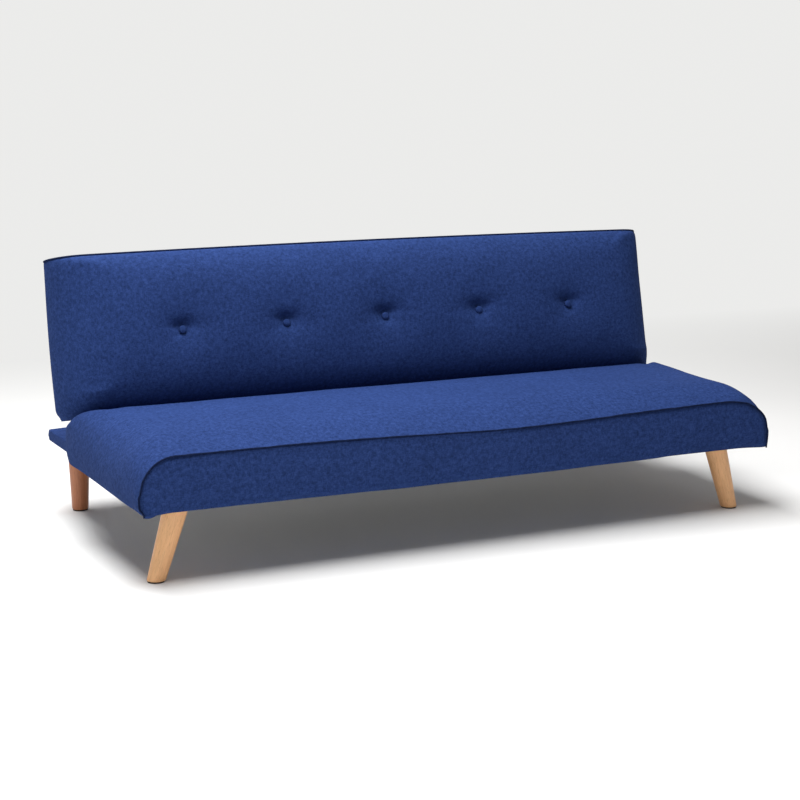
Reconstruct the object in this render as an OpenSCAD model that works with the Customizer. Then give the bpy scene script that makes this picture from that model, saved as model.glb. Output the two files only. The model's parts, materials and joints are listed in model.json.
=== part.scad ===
// Click-clack sofa bed: a sprung seat on a timber base, and a back that folds down level with it.
// Millimetres. +X is the right-hand end, +Y the back, +Z up.
// The origin is on the floor, under the middle of the whole sofa.

/* [Seat] */
// Width over the upholstered ends of the seat and of the back
sofa_w = 1780; // [1600:10:1900]
// Depth of the seat, from its front panel to its rear
seat_d = 573; // [560:1:600]
// Height of the seat's top above the floor
seat_top = 343; // [338:1:350]
// Height of the seam along the seat's front edge
front_seam_h = 318; // [305:1:318]
// Radius of the seat's rounded ends
seat_end_r = 95; // [80:1:100]
// Height and depth of the slope along the seat's rear edge
seat_rear_slope = 60; // [55:1:65]

/* [Back] */
// Length of the back's upholstery, from its lower edge to its upper edge
back_len = 410; // [380:5:440]
// How far the back leans from upright when the sofa is set for sitting, in degrees
recline = 13.1; // [11:0.1:16]
// Thickness of the back's lower part behind the hinge line
back_rear_low = 63; // [60:1:63]
// Thickness of the back's upper part behind the hinge line
back_rear_top = 47; // [42:1:50]
// Radius of the back's rounded ends
back_end_r = 95; // [80:1:105]
// How far the filling of the back stands out at mid height
back_crown = 30; // [20:1:32]
// Radius of the rounding along the back's lower front edge
back_low_r = 125; // [120:1:135]

/* [Base and legs] */
// Depth from the seat's front panel to the rear of the base
sofa_d = 892; // [885:1:920]
// Height of the base's covered underside
base_bottom = 183; // [180:1:186]
// Distance from the seat's end to the base's side
base_inset = 45; // [42:1:50]
// Width of a side or rear rail of the base
rail_w = 100; // [90:1:110]
// Radius of a leg where it meets the base
leg_top_r = 30; // [25:1:32]
// Radius of a leg at the floor
leg_foot_r = 22; // [16:1:24]
// Outward splay of the front legs, in degrees
splay = 17; // [10:1:20]

/* [Buttons] */
// Distance between two buttons
button_pitch = 289; // [260:1:300]
// Distance of the buttons below the back's upper edge
button_drop = 205; // [195:1:215]
// Radius of a button
button_r = 11; // [9:1:14]

/* [Hinge] */
// Depth of the hinge pin below the seat's top
pivot_drop = 63; // [60:1:66]
// Radius of the hinge pin
pin_r = 6; // [5:0.5:7]
// Thickness of the hinge's steel
plate_t = 4; // [3:0.5:4]

/* [Hidden] */
$fn = 64;

left = -1;
right = 1;
fabric_t = 2;
pipe_r = 2.5;
gap = 0.1;
front_y = -sofa_d / 2;
rear_y = sofa_d / 2;
seat_rear_y = front_y + seat_d;

// Base frame, flat timber rails wrapped in fabric where they show
base_z = base_bottom + fabric_t;
base_t = 28;
base_top = base_z + base_t;
base_outer_x = sofa_w / 2 - base_inset - fabric_t;
base_inner_x = base_outer_x - rail_w;
base_front_y = front_y + 12;
base_rear_y = rear_y - fabric_t;
front_rail_w = 130;
middle_rail_y = front_y + 470;
middle_rail_w = 90;
cover_start_y = seat_rear_y;
dowel_r = 5;
dowel_l = 60;
// Rows of dowels in the front, middle and rear joints, clear of the leg bolts
DOWEL_Y = [front_y + 32, front_y + 68, middle_rail_y + 20, middle_rail_y + 70, rear_y - 77, rear_y - 25];

// Seat frame, timber on edge on the base
seat_rail_t = 22;
seat_rail_h = 45;
seat_rail_top = base_top + seat_rail_h;
seat_rail_front = front_y + 22;
seat_rail_rear = front_y + 550;
seat_end_x = 802;
wire = 3.8;
seat_spring_count = 8;
seat_spring_pitch = 200;
pad_z = seat_rail_top + wire + 1;
pad_t = 3;
foam_under = pad_z + pad_t;
seat_front_r = 25;
panel_r = seat_end_r - 4;
panel_w = sofa_w - 8;

// Legs
front_foot_x = 820;
front_leg_y = front_y + 87;
rear_leg_x = 783;
rear_leg_y = front_y + 821;
glide_t = 3;
leg_plate_t = 3;
leg_top_z = base_bottom - leg_plate_t;
front_top_x = front_foot_x - leg_top_z * tan(splay);
leg_plate_w = 90;
leg_bolt_r = 4;
leg_bolt_in = 38;
leg_screw_off = 37;
// Centre of each leg's top and the splay of the leg, outward in X
LEGS = [[-front_top_x, front_leg_y, -splay], [front_top_x, front_leg_y, splay],
    [-rear_leg_x, rear_leg_y, 0], [rear_leg_x, rear_leg_y, 0]];

// Hinge, placed so that the back's front face comes level with the seat's top when it lies flat
pivot_y = seat_rear_y + 7;
pivot_z = seat_top - pivot_drop;
plate_x = seat_end_x;
arm_x = plate_x + plate_t + 0.5;
hub_r = 24;
crest_r = 31;
notch_r = 27;
pawl_pin_y = -52;
pawl_pin_z = -24;
pawl_pin_r = 4;
pawl_w = 6;
pawl_clear = 0.8;
notch_w = 8;
// The notch for sitting faces the pawl at rest, and the one for lounging comes to it later
pawl_angle = atan2(-pawl_pin_y, -pawl_pin_z);
lounge_turn = 38;
NOTCHES = [pawl_angle - recline, pawl_angle - recline - lounge_turn];
arm_w = 28;
stile_mid_y = 26;
ARM_HOLES = [110, 150, 185];
SEAT_HOLES = [-125, -75];
hinge_bolt_r = 4;

// Back, in its own upright frame with the hinge pin at the origin and its front face towards -Y
face_y = -70;
back_low = 18;
back_high = back_low + back_len;
back_top_r = 20;
bulge_y = face_y - back_crown;
crown_half = (back_len - back_top_r) / 2;
crown_r = (crown_half * crown_half + back_crown * back_crown) / (2 * back_crown);
back_rail_y = 20;
back_rail_t = 22;
stile_x = arm_x;
stile_t = 22;
stile_y = 10;
back_frame_low = 40;
back_frame_high = back_high - 13;
back_rail_h = 50;
middle_z = back_high - button_drop;
dimple_depth = 12;
dimple_r = 32;
dimple_floor_r = 15;
button_floor = bulge_y + dimple_depth;
button_t = 8;
tie_r = 1.25;

navy = [0.08, 0.14, 0.42];
blue = [0.12, 0.22, 0.62];
dark = [0.05, 0.06, 0.14];
oak = [0.80, 0.58, 0.36];
pine = [0.86, 0.74, 0.54];
steel = [0.62, 0.63, 0.65];
felt = [0.45, 0.44, 0.42];
foam_colour = [0.93, 0.90, 0.80];

// A rectangle from low to high, whose upper corners are rounded
module round_top(w, low, high, r) {
    translate([-w / 2, low]) square([w, high - r - low]);
    intersection() {
        translate([-w / 2, low]) square([w, high - low]);
        union() {
            translate([-w / 2 + r, low]) square([w - 2 * r, high - low]);
            for (side = [-1, 1]) translate([side * (w / 2 - r), high - r]) circle(r);
        }
    }
}

// Sets an outline drawn in Y and Z at x = 0 and gives it a width along X
module along_x(w) {
    rotate([90, 0, 90]) translate([0, 0, -w / 2]) linear_extrude(w) children();
}

// Sets an outline drawn in X and Z and gives it a depth back from y
module along_y(y, d) {
    translate([0, y + d, 0]) rotate([90, 0, 0]) linear_extrude(d) children();
}

module plain_box(x0, x1, y0, y1, z0, z1) {
    translate([x0, y0, z0]) cube([x1 - x0, y1 - y0, z1 - z0]);
}

// A cylinder along X, from x0 to x1
module rod_x(r, x0, x1, y, z) {
    translate([x0, y, z]) rotate([0, 90, 0]) cylinder(r = r, h = x1 - x0);
}

// The rounding removed from a corner at the origin that points to -X and -Y
module corner_cut(r) {
    difference() {
        translate([-1, -1]) square(r + 1);
        translate([r, r]) circle(r);
    }
}

// The slope removed from a corner at the origin that points to +X and +Y
module slope_cut(side) {
    polygon([[1, 1], [-side, 1], [-side, 0], [0, -side], [1, -side]]);
}

// ---- Base ----

module base_rail_bores() {
    for (side = [left, right], y = DOWEL_Y) {
        rod_x(dowel_r + gap, side * base_inner_x - dowel_l / 2 - gap,
            side * base_inner_x + dowel_l / 2 + gap, y, base_z + base_t / 2);
    }
    for (leg = LEGS) translate([leg[0], leg[1], base_bottom]) {
        translate([0, 0, -1]) cylinder(r = leg_bolt_r + 6, h = base_t - 4);
        for (a = [-1, 1], b = [-1, 1]) translate([a * leg_screw_off, b * leg_screw_off, 0]) {
            cylinder(r = 2.1, h = 18);
        }
    }
    seat_screws_at() cylinder(r = 2.6, h = base_t - 8);
}

// Places its child at the foot of each screw that holds the seat frame down
module seat_screws_at() {
    z = base_z + 8;
    for (x = [-600, -200, 200, 600], y = [seat_rail_front + seat_rail_t / 2,
            seat_rail_rear - seat_rail_t / 2]) {
        translate([x, y, z]) children();
    }
    for (side = [left, right], y = [front_y + 200, front_y + 360]) {
        translate([side * (seat_end_x - seat_rail_t / 2), y, z]) children();
    }
}

module base_cross_rail(y, w) {
    color(pine) difference() {
        plain_box(-base_inner_x, base_inner_x, y, y + w, base_z, base_top);
        base_rail_bores();
    }
}

module base_side_rail(side) {
    color(pine) difference() {
        mirror([side < 0 ? 1 : 0, 0, 0]) {
            plain_box(base_inner_x, base_outer_x, base_front_y, base_rear_y, base_z, base_top);
        }
        base_rail_bores();
    }
}

module base_front_rail() { base_cross_rail(base_front_y, front_rail_w); }
module base_middle_rail() { base_cross_rail(middle_rail_y, middle_rail_w); }
module base_rear_rail() { base_cross_rail(base_rear_y - rail_w, rail_w); }
module base_left_rail() { base_side_rail(left); }
module base_right_rail() { base_side_rail(right); }

module base_dowels() {
    color(pine) for (side = [left, right], y = DOWEL_Y) {
        rod_x(dowel_r, side * base_inner_x - dowel_l / 2, side * base_inner_x + dowel_l / 2,
            y, base_z + base_t / 2);
    }
}

module leg_fixing_holes() {
    for (leg = LEGS) translate([leg[0], leg[1], base_bottom - 1]) {
        cylinder(r = leg_bolt_r + 6, h = fabric_t + 2);
        for (a = [-1, 1], b = [-1, 1]) translate([a * leg_screw_off, b * leg_screw_off, 0]) {
            cylinder(r = 2.1, h = fabric_t + 2);
        }
    }
}

// Fabric sleeve around a side rail, behind the seat
module base_side_cover(side) {
    inner = base_inner_x - fabric_t;
    outer = base_outer_x + fabric_t;
    color(navy) difference() {
        mirror([side < 0 ? 1 : 0, 0, 0]) difference() {
            plain_box(inner, outer, cover_start_y, rear_y, base_bottom, base_top + fabric_t);
            plain_box(base_inner_x, base_outer_x, cover_start_y - 1, base_rear_y, base_z, base_top);
            plain_box(inner - 1, base_inner_x, base_rear_y - rail_w - fabric_t, rear_y + 1,
                base_bottom - 1, base_top + fabric_t + 1);
        }
        leg_fixing_holes();
    }
}

module base_left_cover() { base_side_cover(left); }
module base_right_cover() { base_side_cover(right); }

module base_rear_cover() {
    color(navy) difference() {
        plain_box(-base_inner_x, base_inner_x, base_rear_y - rail_w - fabric_t, rear_y,
            base_bottom, base_top + fabric_t);
        plain_box(-base_inner_x - 1, base_inner_x + 1, base_rear_y - rail_w, base_rear_y,
            base_z, base_top);
        leg_fixing_holes();
    }
}

// ---- Seat frame and springs ----

module seat_cross_rail(y) {
    x = seat_end_x - seat_rail_t;
    color(pine) difference() {
        plain_box(-x, x, y, y + seat_rail_t, base_top, seat_rail_top);
        seat_screws_at() cylinder(r = 2.6, h = 100);
    }
}

module seat_side_rail(side) {
    color(pine) difference() {
        mirror([side < 0 ? 1 : 0, 0, 0]) {
            plain_box(seat_end_x - seat_rail_t, seat_end_x, seat_rail_front, seat_rail_rear,
                base_top, seat_rail_top);
        }
        seat_screws_at() cylinder(r = 2.6, h = 100);
        for (hole = SEAT_HOLES) {
            rod_x(hinge_bolt_r + 0.2, side * seat_end_x - 40, side * seat_end_x + 40,
                pivot_y + hole, base_top + seat_rail_h / 2);
        }
    }
}

module seat_front_rail() { seat_cross_rail(seat_rail_front); }
module seat_rear_rail() { seat_cross_rail(seat_rail_rear - seat_rail_t); }
module seat_left_rail() { seat_side_rail(left); }
module seat_right_rail() { seat_side_rail(right); }

module seat_frame_screws() {
    color(steel) seat_screws_at() cylinder(r = 2.5, h = seat_rail_top - base_z - 8);
}

// A zigzag spring as a flat outline along +Y: an even number of half rings joined by straight wires
module zigzag(length, amplitude, bends) {
    r = length / bends / 2;
    reach = amplitude - r;
    for (i = [0 : bends - 1]) {
        side = i % 2 == 0 ? 1 : -1;
        translate([side * reach, (2 * i + 1) * r]) intersection() {
            difference() {
                circle(r + wire / 2);
                circle(r - wire / 2);
            }
            translate([side > 0 ? 0 : -2 * r, -2 * r]) square([2 * r, 4 * r]);
        }
    }
    for (i = [0 : bends]) {
        start = i == 0 ? 0 : -reach - gap;
        end = i == bends ? 0 : reach + gap;
        translate([start, 2 * i * r - wire / 2]) square([end - start, wire]);
    }
}

function seat_spring_x(i) = (i - (seat_spring_count - 1) / 2) * seat_spring_pitch;

module seat_springs() {
    start = seat_rail_front + seat_rail_t / 2;
    length = seat_rail_rear - seat_rail_front - seat_rail_t;
    color(steel) for (i = [0 : seat_spring_count - 1]) {
        translate([seat_spring_x(i), start, seat_rail_top + 0.2]) linear_extrude(wire) {
            zigzag(length, 26, 14);
        }
    }
}

// A clip holds the end of a spring on its rail: a strip with a hood over the wire
module spring_clip() {
    hood = wire + 0.6;
    translate([-12, -9, 0]) difference() {
        cube([24, 18, hood + 0.8]);
        translate([-1, 3, -1]) cube([26, 12, hood + 1]);
    }
}

module seat_spring_clips() {
    color(steel) for (i = [0 : seat_spring_count - 1], y = [seat_rail_front + seat_rail_t / 2,
            seat_rail_rear - seat_rail_t / 2]) {
        translate([seat_spring_x(i), y, seat_rail_top]) spring_clip();
    }
}

module seat_spring_pad() {
    color(felt) plain_box(-seat_end_x, seat_end_x, seat_rail_front, seat_rail_rear,
        pad_z + 0.6, foam_under);
}

// ---- Seat upholstery ----

// The seat's outer form, drawn in by inset on every side but its underside
module seat_form(inset) {
    low = base_bottom;
    intersection() {
        along_y(front_y + inset, seat_d - 2 * inset) {
            round_top(sofa_w - 2 * inset, low, seat_top - inset, seat_end_r - inset);
        }
        along_x(sofa_w) difference() {
            translate([front_y + inset, low]) square([seat_d - 2 * inset, seat_top - inset - low]);
            translate([front_y + inset, seat_top - inset]) mirror([0, 1]) {
                corner_cut(seat_front_r - inset);
            }
            translate([seat_rear_y - inset, seat_top - inset]) {
                slope_cut(seat_rear_slope - (2 - sqrt(2)) * inset);
            }
        }
    }
}

module panel_outline(grow) {
    round_top(panel_w + 2 * grow, base_bottom, front_seam_h + grow, panel_r + grow);
}

// The channel in which the piping lies, around the front panel
module seat_pipe_channel() {
    along_y(front_y - 1, 1 + 2 * pipe_r) difference() {
        panel_outline(0);
        panel_outline(-2 * pipe_r);
    }
}

// Room in the seat's rear for the base's side rails and for the two hinges
module seat_rear_slots() {
    for (side = [left, right]) mirror([side < 0 ? 1 : 0, 0, 0]) {
        plain_box(base_inner_x - 1, base_outer_x + 1, seat_rear_y - 30, seat_rear_y + 1,
            base_bottom - 1, base_top + 4);
        plain_box(plate_x - 6, arm_x + plate_t + 8, pivot_y - 66, seat_rear_y + 1,
            base_top, seat_top + 1);
    }
}

module seat_foam() {
    inset = fabric_t;
    color(foam_colour) difference() {
        seat_form(inset);
        plain_box(-sofa_w, sofa_w, front_y, seat_rear_y, base_bottom - 1, base_z);
        plain_box(-base_outer_x - 1, base_outer_x + 1, base_front_y - 1, middle_rail_y + middle_rail_w + 1,
            base_bottom - 1, foam_under);
        seat_pipe_channel();
        seat_rear_slots();
    }
}

module seat_cover() {
    color(blue) difference() {
        union() {
            difference() {
                seat_form(0);
                seat_form(fabric_t);
            }
            plain_box(-sofa_w / 2 + fabric_t, sofa_w / 2 - fabric_t, front_y + fabric_t,
                seat_rear_y - fabric_t, base_bottom, base_z);
        }
        plain_box(-base_inner_x, base_inner_x, front_y + rail_w + 60, middle_rail_y,
            base_bottom - 1, base_z + 1);
        along_y(front_y - 1, 1 + fabric_t) panel_outline(0);
        seat_pipe_channel();
        seat_rear_slots();
        leg_fixing_holes();
    }
}

module seat_front_panel() {
    color(navy) along_y(front_y, fabric_t) panel_outline(-2 * pipe_r);
}

// A quarter ring of cord, from +X towards +Y, in the plane of X and Y
module pipe_bend(r) {
    rotate_extrude(angle = 90) translate([r, 0]) circle(pipe_r, $fn = 24);
}

module seat_piping() {
    bend_r = panel_r - pipe_r;
    bend_x = panel_w / 2 - panel_r;
    bend_z = front_seam_h - panel_r;
    side_h = bend_z - base_bottom;
    color(dark) translate([0, front_y + pipe_r, 0]) {
        for (side = [left, right]) mirror([side < 0 ? 1 : 0, 0, 0]) {
            translate([bend_x, 0, bend_z]) rotate([90, 0, 0]) pipe_bend(bend_r);
            translate([bend_x + bend_r, 0, base_bottom]) cylinder(r = pipe_r, h = side_h, $fn = 24);
        }
        translate([-bend_x, 0, bend_z + bend_r]) rotate([0, 90, 0]) {
            cylinder(r = pipe_r, h = 2 * bend_x, $fn = 24);
        }
    }
}

// Thin sheet stapled under the base, cut away around the leg plates
module dust_cover() {
    over = 15;
    half = leg_plate_w / 2 + 1;
    color(dark) difference() {
        plain_box(-base_inner_x - over, base_inner_x + over, front_y + rail_w + 50,
            base_rear_y - rail_w + over, base_bottom - 1, base_bottom);
        for (spot = LEGS) {
            plain_box(spot[0] - half, spot[0] + half, spot[1] - half, spot[1] + half,
                base_bottom - 2, base_bottom + 1);
        }
    }
}

// ---- Legs ----

// Sets its children at a leg's top, leaning with the leg
module at_leg(leg) {
    translate([leg[0], leg[1], leg_top_z]) rotate([0, -leg[2], 0]) children();
}

module leg(spot) {
    run = leg_top_z / cos(spot[2]);
    color(oak) difference() {
        intersection() {
            at_leg(spot) translate([0, 0, -run - 20]) {
                slope = (leg_top_r - leg_foot_r) / run;
                cylinder(r1 = leg_foot_r - 20 * slope, r2 = leg_top_r + 20 * slope, h = run + 40);
            }
            plain_box(-sofa_w, sofa_w, front_y, rear_y, glide_t, leg_top_z);
        }
        at_leg(spot) translate([0, 0, -leg_bolt_in - gap]) cylinder(r = leg_bolt_r + gap, h = 100);
    }
}

module front_left_leg() { leg(LEGS[0]); }
module front_right_leg() { leg(LEGS[1]); }
module rear_left_leg() { leg(LEGS[2]); }
module rear_right_leg() { leg(LEGS[3]); }

module leg_plates() {
    half = leg_plate_w / 2;
    color(steel) for (spot = LEGS) difference() {
        plain_box(spot[0] - half, spot[0] + half, spot[1] - half, spot[1] + half,
            leg_top_z, base_bottom);
        at_leg(spot) translate([0, 0, -20]) cylinder(r = leg_bolt_r + gap, h = 60);
        for (a = [-1, 1], b = [-1, 1]) {
            translate([spot[0] + a * leg_screw_off, spot[1] + b * leg_screw_off, leg_top_z - 1]) {
                cylinder(r = 2.3, h = leg_plate_t + 2);
            }
        }
    }
}

module leg_plate_screws() {
    color(steel) for (spot = LEGS, a = [-1, 1], b = [-1, 1]) {
        translate([spot[0] + a * leg_screw_off, spot[1] + b * leg_screw_off, leg_top_z]) {
            translate([0, 0, -2]) cylinder(r = 4, h = 2);
            cylinder(r = 2, h = 20);
        }
    }
}

module hanger_bolts() {
    color(steel) for (spot = LEGS) at_leg(spot) {
        translate([0, 0, -leg_bolt_in]) cylinder(r = leg_bolt_r, h = leg_bolt_in + 18);
    }
}

module foot_glides() {
    feet = [[-front_foot_x, front_leg_y], [front_foot_x, front_leg_y],
        [-rear_leg_x, rear_leg_y], [rear_leg_x, rear_leg_y]];
    color(dark) for (foot = feet) translate([foot[0], foot[1], 0]) {
        cylinder(r = leg_foot_r - 2, h = glide_t);
    }
}

// ---- Hinge, seat half ----

module on_side(side) {
    mirror([side < 0 ? 1 : 0, 0, 0]) translate([0, pivot_y, pivot_z]) children();
}

// A steel plate in the plane of Y and Z, from x for plate_t
module plate_at(x) {
    translate([x, 0, 0]) rotate([90, 0, 90]) linear_extrude(plate_t) children();
}

module seat_plate(side) {
    floor_z = base_top - pivot_z;
    color(steel) on_side(side) {
        difference() {
            plate_at(plate_x) {
                circle(hub_r);
                translate([-hub_r, floor_z + fabric_t + 1]) square([2 * hub_r, -floor_z - fabric_t - 1]);
                translate([-150, floor_z]) square([150 - hub_r, seat_rail_h]);
            }
            rod_x(pin_r + 0.05, plate_x - 1, plate_x + plate_t + 1, 0, 0);
            rod_x(pawl_pin_r + 0.05, plate_x - 1, plate_x + plate_t + 1, pawl_pin_y, pawl_pin_z);
            for (hole = SEAT_HOLES) {
                rod_x(hinge_bolt_r + 0.2, plate_x - 1, plate_x + plate_t + 1, hole,
                    floor_z + seat_rail_h / 2);
            }
        }
    }
}

module left_seat_plate() { seat_plate(left); }
module right_seat_plate() { seat_plate(right); }

// A riveted pin, with a head at its outer end
module headed_pin(r, head_r, x0, x1, y, z) {
    rod_x(r, x0, x1, y, z);
    rod_x(head_r, x1, x1 + 4, y, z);
}

module pivot_pin(side) {
    color(steel) on_side(side) {
        headed_pin(pin_r, pin_r + 5, plate_x, arm_x + plate_t + 0.5, 0, 0);
        rod_x(pin_r + 5, plate_x - 4, plate_x, 0, 0);
    }
}

module left_pivot_pin() { pivot_pin(left); }
module right_pivot_pin() { pivot_pin(right); }

// The head stands at x0 - head, the nut at x1
module hinge_bolt(head_x, nut_x, y, z) {
    rod_x(hinge_bolt_r, nut_x - 6, head_x, y, z);
    rod_x(hinge_bolt_r + 3.5, head_x, head_x + 4, y, z);
    translate([nut_x - 5.5, y, z]) rotate([0, 90, 0]) difference() {
        cylinder(r = 7.5, h = 5.5, $fn = 6);
        translate([0, 0, -1]) cylinder(r = hinge_bolt_r + gap, h = 8);
    }
}

module seat_hinge_bolts() {
    color(steel) for (side = [left, right], hole = SEAT_HOLES) on_side(side) {
        hinge_bolt(plate_x + plate_t, seat_end_x - seat_rail_t, hole,
            base_top - pivot_z + seat_rail_h / 2);
    }
}

module pawl_pins() {
    color(steel) for (side = [left, right]) on_side(side) {
        headed_pin(pawl_pin_r, pawl_pin_r + 3, plate_x, arm_x + plate_t + 5, pawl_pin_y, pawl_pin_z);
    }
}

// Coils of the spring that presses the pawl on, around the pawl's pin
module pawl_springs() {
    coil = 1.2;
    color(steel) for (side = [left, right]) on_side(side) {
        for (turn = [0 : 2]) {
            translate([arm_x + plate_t + 1 + turn * coil, pawl_pin_y, pawl_pin_z]) {
                rotate([0, 90, 0]) rotate_extrude() translate([6, 0]) circle(coil / 2 + 0.01, $fn = 16);
            }
        }
    }
}

// ---- Hinge, moving half ----

// Stands the back's own frame at the hinge pin, leaning as set for sitting
module at_back() {
    translate([0, pivot_y, pivot_z]) rotate([-recline, 0, 0]) children();
}

module ratchet_outline() {
    difference() {
        circle(crest_r);
        translate([-crest_r - 1, 0]) square([2 * crest_r + 2, crest_r + 1]);
        for (notch = NOTCHES) rotate(-notch) translate([-notch_w / 2, -crest_r - 1]) {
            square([notch_w, crest_r + 1 - notch_r]);
        }
    }
    circle(hub_r);
}

module arm_outline() {
    knee_z = 60;
    lean = atan(stile_mid_y / knee_z);
    ratchet_outline();
    rotate(-lean) translate([-arm_w / 2, 0]) square([arm_w, knee_z / cos(lean)]);
    translate([stile_mid_y, knee_z]) circle(arm_w / 2);
    translate([stile_mid_y - arm_w / 2, knee_z]) square([arm_w, 145]);
    translate([stile_mid_y, knee_z + 145]) circle(arm_w / 2);
}

module back_arm(side) {
    color(steel) at_back() mirror([side < 0 ? 1 : 0, 0, 0]) difference() {
        plate_at(arm_x) arm_outline();
        rod_x(pin_r + 0.05, arm_x - 1, arm_x + plate_t + 1, 0, 0);
        for (z = ARM_HOLES) {
            rod_x(hinge_bolt_r + 0.2, arm_x - 1, arm_x + plate_t + 1, stile_mid_y, z);
        }
    }
}

module left_back_arm() { back_arm(left); }
module right_back_arm() { back_arm(right); }

module back_hinge_bolts() {
    color(steel) at_back() for (side = [left, right], z = ARM_HOLES) {
        mirror([side < 0 ? 1 : 0, 0, 0]) {
            hinge_bolt(arm_x + plate_t, stile_x - stile_t, stile_mid_y, z);
        }
    }
}

// The pawl's lever, with its tip just clear of the ratchet's crests
module pawl_outline() {
    aim = atan2(-pawl_pin_z, -pawl_pin_y);
    difference() {
        translate([pawl_pin_y, pawl_pin_z]) {
            circle(8);
            rotate(aim) translate([0, -pawl_w / 2]) square([norm([pawl_pin_y, pawl_pin_z]), pawl_w]);
        }
        circle(crest_r + pawl_clear);
    }
}

module pawl(side) {
    color(steel) on_side(side) difference() {
        plate_at(arm_x) pawl_outline();
        rod_x(pawl_pin_r + 0.05, arm_x - 1, arm_x + plate_t + 1, pawl_pin_y, pawl_pin_z);
    }
}

module left_pawl() { pawl(left); }
module right_pawl() { pawl(right); }

// ---- Back frame ----

// Bores through the back's middle rail for the ties of the buttons
module tie_bores() {
    for (i = [-2 : 2]) translate([i * button_pitch, bulge_y, middle_z]) rotate([-90, 0, 0]) {
        cylinder(r = tie_r + 0.5, h = back_rear_low - bulge_y);
    }
}

module back_cross_rail(z) {
    x = stile_x - stile_t;
    color(pine) at_back() difference() {
        plain_box(-x, x, back_rail_y, back_rail_y + back_rail_t, z, z + back_rail_h);
        tie_bores();
    }
}

module back_stile(side) {
    color(pine) at_back() mirror([side < 0 ? 1 : 0, 0, 0]) difference() {
        plain_box(stile_x - stile_t, stile_x, stile_y, back_rail_y + back_rail_t,
            back_frame_low, back_frame_high);
        for (z = ARM_HOLES) {
            rod_x(hinge_bolt_r + 0.2, stile_x - stile_t - 1, stile_x + 1, stile_mid_y, z);
        }
    }
}

module back_top_rail() { back_cross_rail(back_frame_high - back_rail_h); }
module back_middle_rail() { back_cross_rail(middle_z - back_rail_h / 2); }
module back_bottom_rail() { back_cross_rail(back_frame_low); }
module back_left_stile() { back_stile(left); }
module back_right_stile() { back_stile(right); }

// Springs stand half way between the buttons
function back_spring_x(i) = (i - 2.5) * button_pitch;

module back_springs() {
    start = back_frame_low + back_rail_h / 2;
    length = back_frame_high - back_frame_low - back_rail_h;
    color(steel) at_back() for (i = [0 : 5]) {
        translate([back_spring_x(i), back_rail_y - 0.2, start]) rotate([90, 0, 0]) {
            linear_extrude(wire) zigzag(length, 26, 10);
        }
    }
}

module back_spring_clips() {
    color(steel) at_back() for (i = [0 : 5], z = [back_frame_low + back_rail_h / 2,
            back_frame_high - back_rail_h / 2]) {
        translate([back_spring_x(i), back_rail_y, z]) rotate([90, 0, 0]) spring_clip();
    }
}

// ---- Back upholstery, in the back's own frame ----

// Outline from above, with both front corners rounded, reaching from out before the flat face back to y
module back_plan(inset, y, out = 0) {
    half = sofa_w / 2 - inset;
    start = face_y - out + inset;
    difference() {
        translate([-half, start]) square([2 * half, y - start]);
        for (side = [0, 1]) mirror([side, 0]) translate([-half, start]) {
            corner_cut(back_end_r + out - inset);
        }
    }
}

// Outline from the end; inset draws the front and the underside in, rear and top are set apart
module back_side(inset, rear_in, top_in) {
    low = back_low + inset;
    high = back_high - top_in;
    start = bulge_y + inset;
    difference() {
        intersection() {
            polygon([[start, low], [back_rear_low - rear_in, low], [back_rear_low - rear_in, 60],
                [back_rear_top - rear_in, high], [start, high]]);
            translate([bulge_y + crown_r, back_low + crown_half]) circle(crown_r - inset);
        }
        translate([start, low]) corner_cut(back_low_r - inset);
        translate([face_y + inset, back_high - min(top_in, inset)]) mirror([0, 1]) {
            corner_cut(back_top_r - inset);
        }
    }
}

module back_form(inset, rear_in, top_in) {
    intersection() {
        linear_extrude(back_high + 20) back_plan(inset, back_rear_low + 20, back_crown);
        along_x(sofa_w) back_side(inset, rear_in, top_in);
    }
}

// The hollow under each button, drawn out by grow
module dimples(grow) {
    before = 4;
    mouth_r = dimple_r + grow + before * (dimple_r - dimple_floor_r) / dimple_depth;
    for (i = [-2 : 2]) translate([i * button_pitch, bulge_y - before, middle_z]) rotate([-90, 0, 0]) {
        cylinder(r1 = mouth_r, r2 = dimple_floor_r + grow, h = dimple_depth + before + grow);
    }
}

// The channel in which the piping lies, around the front and ends of the top panel
module back_pipe_channel() {
    translate([0, 0, back_high - 2 * pipe_r]) difference() {
        linear_extrude(2 * pipe_r + 1) back_plan(back_top_r, back_rear_top + 1);
        translate([0, 0, -1]) linear_extrude(2 * pipe_r + 3) {
            back_plan(back_top_r + 2 * pipe_r, back_rear_top + 2);
        }
    }
}

// Slots in the lower edge of the back for the hinge arms
module arm_slots() {
    for (side = [0, 1]) mirror([side, 0, 0]) {
        plain_box(plate_x - 4, arm_x + plate_t + 6, -34, back_rear_low + 1, 0, 90);
    }
}

module back_foam() {
    inset = fabric_t;
    color(foam_colour) at_back() difference() {
        back_form(inset, inset, inset);
        dimples(fabric_t);
        plain_box(-arm_x - plate_t - 8, arm_x + plate_t + 8, stile_y - 1, back_rear_low + 1,
            back_frame_low - 4, back_frame_high + 4);
        back_pipe_channel();
        arm_slots();
        tie_bores();
    }
}

module back_cover() {
    color(navy) at_back() difference() {
        back_form(0, 0, 0);
        difference() {
            back_form(fabric_t, -1, -1);
            dimples(fabric_t);
        }
        dimples(0);
        translate([0, 0, back_high - fabric_t]) linear_extrude(fabric_t + 1) {
            back_plan(back_top_r, back_rear_low + 1);
        }
        back_pipe_channel();
        arm_slots();
        tie_bores();
    }
}

module back_top_panel() {
    color(navy) at_back() translate([0, 0, back_high - fabric_t]) linear_extrude(fabric_t) {
        back_plan(back_top_r + 2 * pipe_r, back_rear_top - fabric_t);
    }
}

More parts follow.
